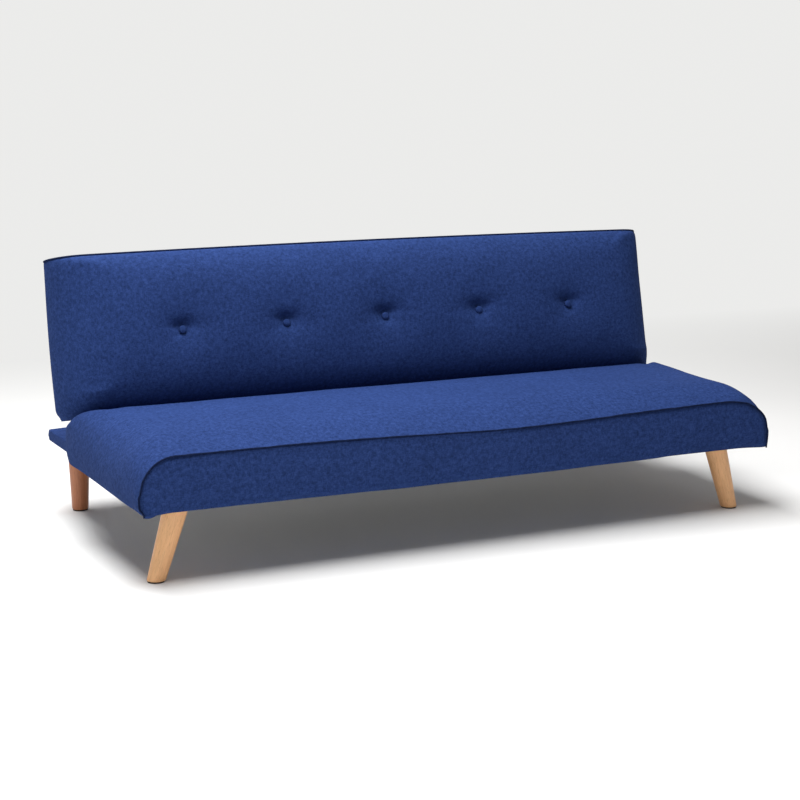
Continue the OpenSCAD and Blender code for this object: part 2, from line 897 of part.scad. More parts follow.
module back_rear_panel() {
    half = sofa_w / 2 - fabric_t;
    color(navy) at_back() difference() {
        intersection() {
            along_x(2 * half) difference() {
                back_side(fabric_t, 0, 0);
                back_side(fabric_t, fabric_t, -1);
            }
            plain_box(-half, half, 0, back_rear_low + 1, back_low, back_high);
        }
        arm_slots();
    }
}

module back_piping() {
    bend_x = sofa_w / 2 - back_end_r;
    bend_y = face_y + back_end_r;
    bend_r = back_end_r - back_top_r - pipe_r;
    color(dark) at_back() translate([0, 0, back_high - pipe_r]) {
        for (side = [0, 1]) mirror([side, 0, 0]) {
            translate([bend_x, bend_y, 0]) mirror([0, 1, 0]) pipe_bend(bend_r);
            translate([bend_x + bend_r, bend_y, 0]) rotate([-90, 0, 0]) {
                cylinder(r = pipe_r, h = back_rear_top - fabric_t - bend_y, $fn = 24);
            }
        }
        translate([-bend_x, bend_y - bend_r, 0]) rotate([0, 90, 0]) {
            cylinder(r = pipe_r, h = 2 * bend_x, $fn = 24);
        }
    }
}

module back_buttons() {
    dome_r = 20;
    color(navy) at_back() for (i = [-2 : 2]) {
        translate([i * button_pitch, button_floor - gap, middle_z]) rotate([90, 0, 0]) intersection() {
            cylinder(r = button_r, h = button_t);
            translate([0, 0, button_t - dome_r]) sphere(dome_r);
        }
    }
}

// Twine from each button through the foam and the middle rail to a washer behind it
module button_ties() {
    washer_y = back_rail_y + back_rail_t;
    color(felt) at_back() for (i = [-2 : 2]) {
        translate([i * button_pitch, 0, middle_z]) rotate([-90, 0, 0]) {
            translate([0, 0, button_floor]) cylinder(r = tie_r, h = washer_y - button_floor);
            translate([0, 0, washer_y]) cylinder(r = 8, h = 1.5);
        }
    }
}

base_front_rail();
base_middle_rail();
base_rear_rail();
base_left_rail();
base_right_rail();
base_dowels();
base_left_cover();
base_right_cover();
base_rear_cover();
seat_front_rail();
seat_rear_rail();
seat_left_rail();
seat_right_rail();
seat_frame_screws();
seat_springs();
seat_spring_clips();
seat_spring_pad();
seat_foam();
seat_cover();
seat_front_panel();
seat_piping();
dust_cover();
front_left_leg();
front_right_leg();
rear_left_leg();
rear_right_leg();
leg_plates();
leg_plate_screws();
hanger_bolts();
foot_glides();
left_seat_plate();
right_seat_plate();
left_pivot_pin();
right_pivot_pin();
seat_hinge_bolts();
pawl_pins();
pawl_springs();
back_top_rail();
back_middle_rail();
back_bottom_rail();
back_left_stile();
back_right_stile();
back_springs();
back_spring_clips();
back_foam();
back_cover();
back_top_panel();
back_piping();
back_rear_panel();
back_buttons();
button_ties();
left_back_arm();
right_back_arm();
back_hinge_bolts();
left_pawl();
right_pawl();
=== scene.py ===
"""Click-clack sofa bed: upholstery, legs, materials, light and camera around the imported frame."""
import json
from math import atan2, cos, exp, pi, radians, sin, sqrt, tan

import bmesh
import bpy
import numpy as np
from mathutils import Matrix, Vector, noise


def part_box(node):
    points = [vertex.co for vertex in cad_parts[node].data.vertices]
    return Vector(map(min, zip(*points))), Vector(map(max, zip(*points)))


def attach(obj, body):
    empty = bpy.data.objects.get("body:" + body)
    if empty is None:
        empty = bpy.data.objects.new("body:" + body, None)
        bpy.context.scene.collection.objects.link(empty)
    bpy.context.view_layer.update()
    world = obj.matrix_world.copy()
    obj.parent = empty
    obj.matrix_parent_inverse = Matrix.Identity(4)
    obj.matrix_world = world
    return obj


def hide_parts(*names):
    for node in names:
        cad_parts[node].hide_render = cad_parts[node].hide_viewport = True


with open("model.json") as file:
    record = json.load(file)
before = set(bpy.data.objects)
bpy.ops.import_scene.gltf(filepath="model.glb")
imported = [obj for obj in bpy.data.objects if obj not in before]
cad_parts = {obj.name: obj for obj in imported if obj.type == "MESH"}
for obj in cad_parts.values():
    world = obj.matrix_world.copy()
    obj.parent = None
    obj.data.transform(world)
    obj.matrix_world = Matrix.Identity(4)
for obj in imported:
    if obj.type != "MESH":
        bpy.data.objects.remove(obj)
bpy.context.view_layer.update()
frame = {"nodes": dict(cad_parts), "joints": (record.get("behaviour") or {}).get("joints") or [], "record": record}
nodes = frame["nodes"]
scene = bpy.context.scene

# ---- Measures taken from the frame ----

seat_low, seat_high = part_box("seat_cover")
joints = {j["name"]: j for j in frame["joints"]}
pivot = Vector(joints["backrest_recline"]["pos_m"])
feet = {m["name"]: Vector(m["pos_m"]) for m in frame["record"]["mounts"]}
HALF = seat_high.x
FRONT = seat_low.y
REAR = seat_high.y
TOP = seat_high.z
UNDER = seat_low.z
SEAM_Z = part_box("seat_piping")[1].z - 0.0025
SLOT_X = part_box("right_seat_plate")[0].x - 0.004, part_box("right_back_arm")[1].x + 0.006
LEAN = radians(13.1)  # how far the back leans at rest

# ---- Fullness and looseness of the upholstery, in metres ----

SEAT_SWELL = 0.008  # the most that pressure moves the seat's skin
BACK_SWELL = 0.009
PRESSURE = 3.0
SEAT_ROOM = 0.004  # the seat is drawn this much small, and pressure fills it out
BACK_ROOM = 0.25  # share of the back's crown that is left to the pressure
SEAT_CORD_R = 0.0024
BACK_CORD_R = 0.0034
CLOTH_T = 0.0016
SEW_FRAMES = 20


# ---- Small mesh tools ----

def mesh_object(name, verts, faces):
    """A smooth shaded mesh in the scene."""
    mesh = bpy.data.meshes.new(name)
    mesh.from_pydata([tuple(v) for v in verts], [], faces)
    mesh.update()
    obj = bpy.data.objects.new(name, mesh)
    scene.collection.objects.link(obj)
    mesh.polygons.foreach_set("use_smooth", [True] * len(mesh.polygons))
    return obj


def outward(obj):
    """Turns all faces outwards."""
    bm = bmesh.new()
    bm.from_mesh(obj.data)
    bmesh.ops.recalc_face_normals(bm, faces=bm.faces)
    bm.to_mesh(obj.data)
    bm.free()
    return obj


def bake(obj):
    """Applies the object's modifiers."""
    depsgraph = bpy.context.evaluated_depsgraph_get()
    mesh = bpy.data.meshes.new_from_object(obj.evaluated_get(depsgraph))
    old = obj.data
    obj.modifiers.clear()
    obj.data = mesh
    bpy.data.meshes.remove(old)
    return obj


def subdivide(obj):
    """Smooths the skin once. Its end faces are opened for that and closed again."""
    bm = bmesh.new()
    bm.from_mesh(obj.data)
    ends = [f for f in bm.faces if len(f.verts) > 4]
    bmesh.ops.delete(bm, geom=ends, context="FACES_ONLY")
    bm.to_mesh(obj.data)
    bm.free()
    mod = obj.modifiers.new("smooth", "SUBSURF")
    mod.levels = mod.render_levels = 1
    bake(obj)
    if ends:
        bm = bmesh.new()
        bm.from_mesh(obj.data)
        bmesh.ops.holes_fill(bm, edges=[e for e in bm.edges if e.is_boundary], sides=0)
        bmesh.ops.recalc_face_normals(bm, faces=bm.faces)
        bm.to_mesh(obj.data)
        bm.free()
    return obj


def box_mesh(low, high):
    """A closed box between two corners, to cut with."""
    bm = bmesh.new()
    bmesh.ops.create_cube(bm, size=1)
    middle, size = (Vector(low) + Vector(high)) / 2, Vector(high) - Vector(low)
    bmesh.ops.transform(bm, verts=bm.verts, matrix=Matrix.Translation(middle) @ Matrix.Diagonal((*size, 1)))
    mesh = bpy.data.meshes.new("cutter")
    bm.to_mesh(mesh)
    bm.free()
    return mesh


def slot_pair(x_in, x_out, low, high):
    """One box per end of the sofa; low and high give Y and Z."""
    return [((min(side * x_in, side * x_out), *low), (max(side * x_in, side * x_out), *high))
            for side in (-1, 1)]


def cut_slots(obj, boxes):
    """Cuts the slots in which the hinges' steel turns."""
    bm = bmesh.new()
    for low, high in boxes:
        mesh = box_mesh(low, high)
        bm.from_mesh(mesh)
        bpy.data.meshes.remove(mesh)
    mesh = bpy.data.meshes.new("slots")
    bm.to_mesh(mesh)
    bm.free()
    tool = bpy.data.objects.new("slots", mesh)
    scene.collection.objects.link(tool)
    mod = obj.modifiers.new("slots", "BOOLEAN")
    mod.operation, mod.object, mod.solver = "DIFFERENCE", tool, "EXACT"
    bake(obj)
    bpy.data.objects.remove(tool)
    bpy.data.meshes.remove(mesh)
    return obj


def loft(name, loops):
    """Joins closed loops of one length into a skin, closed by one face at each end."""
    count = len(loops[0])
    verts = [p for loop in loops for p in loop]
    faces = []
    for j in range(len(loops) - 1):
        for i in range(count):
            k = (i + 1) % count
            faces.append((j * count + i, j * count + k, (j + 1) * count + k, (j + 1) * count + i))
    faces.append(tuple(range(count)))
    faces.append(tuple((len(loops) - 1) * count + i for i in range(count)))
    return outward(mesh_object(name, verts, faces))


def tube(name, path, radius, sides=10):
    """A round cord along a path of points."""
    path = [Vector(p) for p in path]
    loops = []
    side = None
    for i, p in enumerate(path):
        ahead = path[min(i + 1, len(path) - 1)] - path[max(i - 1, 0)]
        ahead.normalize()
        if side is None:
            side = ahead.cross(Vector((0.3, 0.2, 0.9))).normalized()
        side = (side - ahead * side.dot(ahead)).normalized()
        over = ahead.cross(side)
        r = radius * (1 + 0.06 * noise.noise(p * 60))
        loops.append([p + r * (cos(2 * pi * k / sides) * side + sin(2 * pi * k / sides) * over)
                      for k in range(sides)])
    return loft(name, loops)


def smoothstep(a, b, x):
    """0 below a, 1 above b and a soft ramp between."""
    t = min(max((x - a) / (b - a), 0), 1)
    return t * t * (3 - 2 * t)


def drawn_in(x, by, start):
    """The sofa's right-hand end is stuffed a little less full than its left-hand end."""
    return x - by * smoothstep(start, HALF, x)


def seat_width(x):
    return drawn_in(x, 0.014, 0.70)


def back_width(x):
    return drawn_in(x, 0.003, 0.60)


def outward_sign(x):
    """The direction in X that leads away from the sofa's middle."""
    return 1 if x > 0 else -1


def wobble(p, scale, seed=0.0):
    """Smooth unevenness between -1 and 1. A larger scale makes it finer."""
    return noise.noise(Vector(p) * scale + Vector((seed, 2 * seed, -seed)))


# ---- Cloth ----

def inflate(obj, hold, pressure, cap):
    """Swells a closed skin by cloth simulation, moving no point further than cap.
    hold is 1 where a point is sewn down and 0 where it is free."""
    rest = np.array([v.co for v in obj.data.vertices])
    group = obj.vertex_groups.new(name="sewn")
    group.add([i for i, w in enumerate(hold) if w > 0], 1.0, "REPLACE")
    mod = obj.modifiers.new("cloth", "CLOTH")
    s = mod.settings
    s.quality = 6
    s.mass = 0.4
    s.tension_stiffness = s.compression_stiffness = 12
    s.shear_stiffness = 6
    s.bending_stiffness = 0.4
    s.tension_damping = s.compression_damping = s.shear_damping = 8
    s.air_damping = 4
    s.use_pressure = True
    s.uniform_pressure_force = pressure
    s.vertex_group_mass = "sewn"
    s.pin_stiffness = 10
    s.effector_weights.gravity = 0
    mod.collision_settings.use_collision = False
    for f in range(1, SEW_FRAMES + 1):
        scene.frame_set(f)
    depsgraph = bpy.context.evaluated_depsgraph_get()
    moved = obj.evaluated_get(depsgraph).to_mesh()
    there = np.array([v.co for v in moved.vertices])
    obj.evaluated_get(depsgraph).to_mesh_clear()
    obj.modifiers.clear()
    scene.frame_set(1)
    step = there - rest
    size = np.linalg.norm(step, axis=1, keepdims=True)
    step *= cap * np.tanh(size / cap) / np.maximum(size, 1e-9)
    obj.data.vertices.foreach_set("co", (rest + step).ravel())
    obj.data.update()
    print("cloth", obj.name, "moved", round(float(size.max()), 4),
          "kept", round(float(np.abs(step).max()), 4))
    return obj


# ---- Materials ----

class Nodes:
    """Builds a node material in few words."""

    def __init__(self, name):
        self.material = bpy.data.materials.new(name)
        self.material.use_nodes = True
        self.tree = self.material.node_tree
        self.shader = self.tree.nodes["Principled BSDF"]
        self.place = self.tree.nodes.new("ShaderNodeTexCoord").outputs["Object"]

    def put(self, target, value):
        """Links a socket to the target, or sets a plain value on it."""
        if isinstance(value, bpy.types.NodeSocket):
            self.tree.links.new(value, target)
        else:
            target.default_value = value

    def math(self, operation, a, b=0.0):
        n = self.tree.nodes.new("ShaderNodeMath")
        n.operation = operation
        self.put(n.inputs[0], a)
        self.put(n.inputs[1], b)
        return n.outputs[0]

    def mapping(self, vector, scale=(1, 1, 1), rotation=(0, 0, 0)):
        n = self.tree.nodes.new("ShaderNodeMapping")
        self.put(n.inputs["Vector"], vector)
        n.inputs["Rotation"].default_value = rotation
        n.inputs["Scale"].default_value = scale
        return n.outputs[0]

    def noise(self, vector, scale, detail=2.0, rough=0.5, distort=0.0):
        n = self.tree.nodes.new("ShaderNodeTexNoise")
        self.put(n.inputs["Vector"], vector)
        n.inputs["Scale"].default_value = scale
        n.inputs["Detail"].default_value = detail
        n.inputs["Roughness"].default_value = rough
        n.inputs["Distortion"].default_value = distort
        return n.outputs["Fac"]

    def ramp(self, fac, stops):
        n = self.tree.nodes.new("ShaderNodeValToRGB")
        self.put(n.inputs["Fac"], fac)
        ramp = n.color_ramp
        while len(ramp.elements) < len(stops):
            ramp.elements.new(0.5)
        for e, (at, colour) in zip(ramp.elements, stops):
            e.position = at
            e.color = (*colour, 1) if len(colour) == 3 else colour
        return n.outputs["Color"]

    def mix(self, fac, a, b, blend="MIX"):
        n = self.tree.nodes.new("ShaderNodeMix")
        n.data_type, n.blend_type = "RGBA", blend
        self.put(n.inputs["Factor"], fac)
        self.put(n.inputs["A"], a if isinstance(a, bpy.types.NodeSocket) else (*a, 1))
        self.put(n.inputs["B"], b if isinstance(b, bpy.types.NodeSocket) else (*b, 1))
        return n.outputs["Result"]

    def spread(self, fac, low, high, to_low=0.0, to_high=1.0):
        """Stretches the range low to high over to_low to to_high."""
        n = self.tree.nodes.new("ShaderNodeMapRange")
        self.put(n.inputs["Value"], fac)
        for key, v in zip(("From Min", "From Max", "To Min", "To Max"), (low, high, to_low, to_high)):
            n.inputs[key].default_value = v
        return n.outputs[0]

    def bump(self, height, strength, distance, normal=None):
        n = self.tree.nodes.new("ShaderNodeBump")
        n.inputs["Strength"].default_value = strength
        n.inputs["Distance"].default_value = distance
        self.put(n.inputs["Height"], height)
        if normal is not None:
            self.put(n.inputs["Normal"], normal)
        return n.outputs[0]

    def split(self, vector):
        n = self.tree.nodes.new("ShaderNodeSeparateXYZ")
        self.put(n.inputs[0], vector)
        return n.outputs[0], n.outputs[1], n.outputs[2]

    def set(self, **sockets):
        """Sets the shader's sockets by name and gives back the material."""
        for key, value in sockets.items():
            self.put(self.shader.inputs[key.replace("_", " ")], value)
        return self.material


def face_weights(n, tilt):
    """How much the surface faces each axis of the cushion's own frame."""
    geometry = n.tree.nodes.new("ShaderNodeNewGeometry")
    normal = n.mapping(geometry.outputs["Normal"], rotation=(tilt, 0, 0))
    parts = [n.math("POWER", n.math("ABSOLUTE", a), 4.0) for a in n.split(normal)]
    total = n.math("ADD", n.math("ADD", parts[0], parts[1]), parts[2])
    return [n.math("DIVIDE", p, total) for p in parts]


def upholstery(name, base, tilt=0.0, pitch=0.0014):
    """A heathered linen weave: crossing yarns, slubs, paler flecks, fuzz and a little wear."""
    n = Nodes(name)
    place = n.mapping(n.place, rotation=(tilt, 0, 0))
    x, y, z = n.split(place)
    wx, wy, wz = face_weights(n, tilt)
    turn = 2 * pi / pitch
    wander = n.noise(place, 90.0, 2.0)
    shift = n.math("MULTIPLY", wander, 1.6)
    sx, sy, sz = (n.math("SINE", n.math("ADD", n.math("MULTIPLY", a, turn / 2), shift)) for a in (x, y, z))
    weave = n.math("ADD", n.math("ADD", n.math("MULTIPLY", n.math("MULTIPLY", sy, sz), wx),
                                 n.math("MULTIPLY", n.math("MULTIPLY", sx, sz), wy)),
                   n.math("MULTIPLY", n.math("MULTIPLY", sx, sy), wz))
    over = n.spread(weave, -1, 1)
    weft = n.noise(n.mapping(place, scale=(0.16, 1, 1)), 620.0, 3.0, 0.65)
    warp_y = n.noise(n.mapping(place, scale=(1, 0.16, 1)), 620.0, 3.0, 0.65)
    warp_z = n.noise(n.mapping(place, scale=(1, 1, 0.16)), 620.0, 3.0, 0.65)
    warp = n.math("ADD", n.math("MULTIPLY", warp_y, wz),
                  n.math("MULTIPLY", warp_z, n.math("ADD", wx, wy)))
    fleck = n.noise(place, 115.0, 5.0, 0.72)
    yarn = n.math("ADD", n.math("MULTIPLY", n.math("ADD", weft, warp), 0.25), n.math("MULTIPLY", fleck, 0.50))
    dark = tuple(c * 0.52 for c in base)
    light = tuple(min(1, c * 1.40 + 0.003) for c in base)
    heather = n.ramp(yarn, [(0.36, dark), (0.50, base), (0.62, light)])
    cloud = n.noise(place, 5.0, 3.0)
    shade = n.spread(cloud, 0.3, 0.7, 0.93, 1.06)
    # Painted shade and painted highlight: darker where the weave dips, paler on its crossings.
    weave_shade = n.spread(over, 0, 1, 0.90, 1.07)
    colour = n.mix(1.0, heather, n.mix(n.math("MULTIPLY", shade, weave_shade), (0, 0, 0), (1, 1, 1)), "MULTIPLY")
    height = n.math("ADD", over, n.math("MULTIPLY", yarn, 1.2))
    normal = n.bump(height, 0.30, 0.0005)
    normal = n.bump(n.noise(place, 60.0, 2.0), 0.08, 0.002, normal)
    n.set(Base_Color=colour, Normal=normal, Roughness=n.spread(yarn, 0.35, 0.65, 0.98, 0.82))
    n.set(Specular_IOR_Level=0.04, Sheen_Weight=0.03, Sheen_Roughness=0.5,
          Sheen_Tint=(0.25, 0.38, 0.80, 1))
    return n.material


def wood(name, pale, dark, along, scale=1.0, gloss=0.42):
    """Long grain along an axis, with fine pores and darker year lines."""
    n = Nodes(name)
    place = n.mapping(n.place, rotation=along)
    long_grain = n.mapping(place, scale=(9 * scale, 9 * scale, 0.55 * scale))
    rings = n.noise(long_grain, 5.0, 4.0, 0.6, 0.9)
    fine = n.noise(n.mapping(place, scale=(60 * scale, 60 * scale, 1.6 * scale)), 6.0, 4.0, 0.7)
    pores = n.noise(n.mapping(place, scale=(90 * scale, 90 * scale, 5 * scale)), 9.0, 2.0)
    middle = tuple((a + b) / 2 for a, b in zip(pale, dark))
    grain = n.ramp(rings, [(0.30, dark), (0.46, middle), (0.58, pale), (0.72, middle)])
    streak = n.ramp(fine, [(0.34, tuple(c * 0.80 for c in middle)), (0.62, pale)])
    colour = n.mix(0.45, grain, streak)
    pore = n.ramp(pores, [(0.30, (0.62, 0.52, 0.44)), (0.42, (1, 1, 1))])
    colour = n.mix(0.7, colour, pore, "MULTIPLY")
    normal = n.bump(n.math("ADD", fine, pores), 0.16, 0.0008)
    return n.set(Base_Color=colour, Normal=normal, Specular_IOR_Level=0.42,
                 Roughness=n.spread(fine, 0.3, 0.7, gloss - 0.08, gloss + 0.14))


def metal(name, colour, rough, metallic=1.0):
    """Plated or painted steel with faint wear and a fine brushed grain."""
    n = Nodes(name)
    wear = n.noise(n.place, 45.0, 5.0, 0.7)
    fine = n.noise(n.mapping(n.place, scale=(1, 1, 9)), 320.0, 2.0)
    shade = n.ramp(wear, [(0.30, tuple(c * 0.7 for c in colour)), (0.62, colour),
                          (0.75, tuple(min(1, c * 1.15 + 0.01) for c in colour))])
    return n.set(Base_Color=shade, Metallic=metallic, Normal=n.bump(fine, 0.05, 0.0006),
                 Roughness=n.spread(wear, 0.3, 0.75, rough + 0.14, rough - 0.08))


def soft(name, colour, grain, rough=0.95, strength=0.4):
    """Felt, foam or non-woven sheet: an open fibrous or cellular surface."""
    n = Nodes(name)
    cells = n.noise(n.place, grain, 5.0, 0.7)
    blot = n.noise(n.place, 12.0, 3.0)
    base = n.ramp(cells, [(0.32, tuple(c * 0.6 for c in colour)), (0.55, colour),
                          (0.72, tuple(min(1, c * 1.2 + 0.01) for c in colour))])
    tone = n.ramp(blot, [(0.35, (0.88, 0.88, 0.88)), (0.6, (1, 1, 1))])
    return n.set(Base_Color=n.mix(1.0, base, tone, "MULTIPLY"), Normal=n.bump(cells, strength, 0.0012),
                 Roughness=n.spread(blot, 0.3, 0.7, rough - 0.06, rough + 0.04), Specular_IOR_Level=0.2)


BLUE = (0.0178, 0.0386, 0.137)
# The welt cords get a darker navy than the cover: painted shade of the seams' grooves.
PIPING_SHADE_NAVY = (0.006, 0.012, 0.042)
OAK = (0.92, 0.53, 0.260), (0.78, 0.38, 0.165)  # pale and dark grain
# The rear legs' oak is darker and redder than the front legs': painted shade for legs that stand in the sofa's
# shadow.
SHADED_REAR_OAK = (0.50, 0.190, 0.085), (0.36, 0.120, 0.052)
PINE = (0.62, 0.44, 0.24), (0.42, 0.25, 0.11)
fabric_seat = upholstery("heathered_blue", BLUE)
fabric_back = upholstery("heathered_blue_back", BLUE, tilt=LEAN)
# Painted shade: the welt cords are coloured darker to show the seams' grooves.
fabric_piping_seam_shade = upholstery("navy_piping_painted_shade", PIPING_SHADE_NAVY, pitch=0.0011)
# The grain follows each leg: the front ones lean out by 17 degrees, the rear ones stand straight.
leg_wood = {lean: wood("oiled_oak_%d" % i, *OAK, (0, radians(lean), 0)) for i, lean in enumerate((-17, 17))}
# The rear legs get the darker oak, which is painted shade.
leg_wood[0] = wood("oiled_oak_rear", *SHADED_REAR_OAK, (0, 0, 0))
timber = wood("pine_frame", *PINE, (0, radians(90), 0), scale=0.6, gloss=0.6)
black_steel = metal("black_steel", (0.025, 0.026, 0.030), 0.42, metallic=0.2)
zinc = metal("zinc_steel", (0.56, 0.57, 0.60), 0.34)
felt = soft("grey_felt", (0.36, 0.35, 0.33), 420.0)
foam = soft("cream_foam", (0.80, 0.74, 0.56), 700.0)
sheet = soft("grey_sheet", (0.45, 0.45, 0.44), 500.0, 0.9)
plastic = soft("dark_glide", (0.060, 0.050, 0.042), 240.0, 0.55, 0.15)

BY_SLOT = {"upholstery": fabric_seat, "piping": fabric_piping_seam_shade, "dust_sheet": sheet, "felt": felt,
           "foam": foam, "leg_wood": leg_wood[0], "frame_wood": timber, "glide": plastic,
           "black_steel": black_steel, "zinc_steel": zinc}
slot_of = {s["node"]: s["material_slot"] for s in frame["record"]["subparts"]}
for node_name, node in nodes.items():
    node.data.materials.clear()
    node.data.materials.append(BY_SLOT[slot_of[node_name]])


def dress(obj, material, body, slot, *replaced):
    """Gives a piece its material and body, and hides the CAD nodes it stands for. slot is not used."""
    obj.data.materials.clear()
    obj.data.materials.append(material)
    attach(obj, body)
    if replaced:
        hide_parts(*replaced)
    return obj


# ---- Seat ----

def seam_dip(x):
    """The seam along the seat's front sags a little to the right of the middle."""
    return 0.0155 * exp(-((x - 0.12) / 0.38) ** 2)


def corner_dip(x):
    """The seam also falls at its right-hand corner."""
    return 0.012 * smoothstep(0.73, 0.85, x)


def section(x_half, top, radius, bottom, step_side, step_arc, step_top, step_under):
    """A loop of points in X and Z: up the left end, over the top, down the right end and back underneath."""
    radius = max(min(radius, top - bottom - 0.002), 0.002)
    left = [(-x_half, bottom + (top - radius - bottom) * i / step_side) for i in range(step_side)]
    arc = [(-x_half + radius - radius * cos(pi / 2 * i / step_arc),
            top - radius + radius * sin(pi / 2 * i / step_arc)) for i in range(step_arc)]
    flat = x_half - radius
    over = [(-flat + 2 * flat * i / step_top, top) for i in range(step_top + 1)]
    right = [(-a, b) for a, b in reversed(left + arc)]
    under = [(x_half - 2 * x_half * i / step_under, bottom) for i in range(1, step_under)]
    return left + arc + over + right + under


def left_tuck(x, z):
    """The seat's front corner at its left-hand end is drawn in a little, most at the hem."""
    return (0.004 + 0.009 * (1 - smoothstep(UNDER, UNDER + 0.018, z))) * smoothstep(0.80, HALF, -x)


def seat_rows():
    """Stations from the front seam to the rear: y, half width, top, end radius, fall towards the rear."""
    rows = []
    rise = 0.110  # depth of the rounded front edge
    fall_r, fall_end = 0.081, 0.057  # reach of the rounded rear edge and its fall at the rear
    for share in (0.0, 0.02, 0.06, 0.12, 0.20, 0.30, 0.42, 0.56, 0.72, 0.88):
        full = smoothstep(-0.3, 0.3, share) * 2 - 1
        rows.append((FRONT + 0.002 + rise * share, HALF - 0.0035 * (1 - full),
                     SEAM_Z + (TOP - SEAM_Z) * sin(pi / 2 * share) ** 0.9, 0.091 + 0.004 * full, 0.0))
    y0, y1 = FRONT + 0.002 + rise, REAR - 0.083
    count = 28
    rows += [(y0 + (y1 - y0) * i / count, HALF, TOP, 0.095 - 0.042 * smoothstep(0.15, 1, i / count), 0.0)
             for i in range(count)]
    for i in range(13):
        a = pi / 2 * i / 12
        rows.append((y1 + fall_r * sin(a), HALF - 0.004 * (1 - cos(a)), TOP, 0.053,
                     fall_end * sin(a) ** 1.6))
    return rows


SEAT_STEPS = 8, 12, 112, 40  # points up an end, round a corner, over the top and back underneath


def seat_shape(inset):
    """The seat's skin as loops from front to rear, with 1 for each point that is sewn or stapled down."""
    loops, kinds = [], []
    for y, half, high, radius, fall in seat_rows():
        loop, kind = [], []
        depth = (y - FRONT) / (REAR - FRONT)
        for x, z in section(half, high, radius, UNDER + 0.0015, *SEAT_STEPS):
            if z > UNDER + 0.01:
                z = TOP - ((TOP - z) ** 4 + fall ** 4) ** 0.25
            lift = smoothstep(UNDER + 0.05, TOP - 0.02, z)
            near_front = 1 - smoothstep(0.0, 0.20, depth)
            near_rear = smoothstep(0.72, 1.0, depth)
            crown = 0.0075 * (1 - (x / HALF) ** 4) * sin(pi * min(max((depth - 0.02) / 0.9, 0), 1)) ** 0.7
            dz = lift * (crown - seam_dip(x) * near_front - corner_dip(x) * (1 - smoothstep(0, 0.06, depth)))
            if z < UNDER + 0.004:
                dz += 0.007 * smoothstep(0.05, 0.35, depth) * smoothstep(HALF - 0.05, HALF - 0.005, abs(x))
            puff = 0.0035 * sin(pi * min(max((z - UNDER) / 0.09, 0), 1)) * (abs(x) > half - 1e-4)
            shy = inset * smoothstep(0.003, 0.05, y - FRONT) * (1 - near_rear)
            droop = 0.009 * exp(-((abs(x) - HALF + 0.02) / 0.025) ** 2) * exp(-((y - FRONT) / 0.05) ** 2)
            p = Vector((x + (puff - shy * (abs(x) > half - 0.01)) * outward_sign(x),
                        y, z + dz - shy * lift - droop * (1 - smoothstep(UNDER, UNDER + 0.04, z))))
            low = min(max((TOP - 0.057 - z) / (TOP - 0.064 - UNDER), 0), 1)
            at_end = smoothstep(HALF - 0.045, HALF - 0.002, abs(x))
            p.y -= 0.030 * low ** 3.2 * smoothstep(REAR - 0.10, REAR, y) * at_end
            p.z += lift * (0.0011 * wobble(p, 5.0, 1.0) + 0.0006 * wobble(p, 16.0, 2.0))
            p.z += 0.0009 * wobble((x * 34, 0, z * 34), 1.0, 4.0) * exp(-((y - FRONT) / 0.03)) * lift
            p.x = seat_width(p.x) + left_tuck(x, p.z) * exp(-((y - FRONT) / 0.07) ** 2)
            loop.append(p)
            kind.append(1.0 if (z < UNDER + 0.012 or y < FRONT + 0.004 or y > REAR - 0.01) else 0.0)
        loops.append(loop)
        kinds.append(kind)
    # A last, smaller loop keeps the rear face flat behind the corners that are drawn in.
    middle = (UNDER + TOP) / 2
    loops.append([Vector((0.94 * p.x, y, middle + 0.88 * (p.z - middle))) for p in loops[-1]])
    kinds.append([1.0] * len(loops[-1]))
    return loops, [k for row in kinds for k in row]


def open_edge(loop, steps):
    """The part of a loop that isn't underneath: up one end, over the top and down the other."""
    side, arc, top = steps[:3]
    return [loop[i].copy() for i in range(2 * side + 2 * arc + top + 1)]


loops, hold = seat_shape(SEAT_ROOM)
seat_seam = open_edge(loops[0], SEAT_STEPS)
seat = loft("seat_upholstery", loops)
inflate(seat, hold, PRESSURE, SEAT_SWELL)
subdivide(seat)


def patch(name, half, low, high, radius, place, rows=10):
    """A sewn panel with rounded upper corners. place turns (x, v, distance to the edge) into a point."""
    edge = [0.0, 0.003, 0.008]
    turns = [radius * (1 - cos(pi / 2 * i / 12)) for i in range(1, 13)]
    xs = edge + [t for t in turns if t > 0.012]
    start, columns = radius + 0.012, 55
    xs += [start + (half - start) * i / columns for i in range(columns + 1)]
    xs = [-half + x for x in xs] + [half - x for x in reversed(xs[:-1])]
    verts, faces = [], []
    for x in xs:
        into = half - abs(x)
        top = high - radius + sqrt(max(radius ** 2 - max(radius - into, 0) ** 2, 0))
        span = top - low
        steps = edge + [0.008 + (span - 0.016) * i / rows for i in range(1, rows)]
        steps += [span - e for e in reversed(edge)]
        for v in steps:
            v += low
            near = min(into, v - low, top - v)
            if into < radius and v > high - radius:
                near = radius - sqrt((radius - into) ** 2 + (v - high + radius) ** 2)
            verts.append(place(x, v, max(near, 0)))
    count = len(steps)
    for i in range(len(xs) - 1):
        for j in range(count - 1):
            a = i * count + j
            faces.append((a, a + count, a + count + 1, a + 1))
    obj = mesh_object(name, verts, faces)
    mod = obj.modifiers.new("cloth", "SOLIDIFY")
    mod.thickness, mod.offset = CLOTH_T, -1
    return subdivide(outward(bake(obj)))


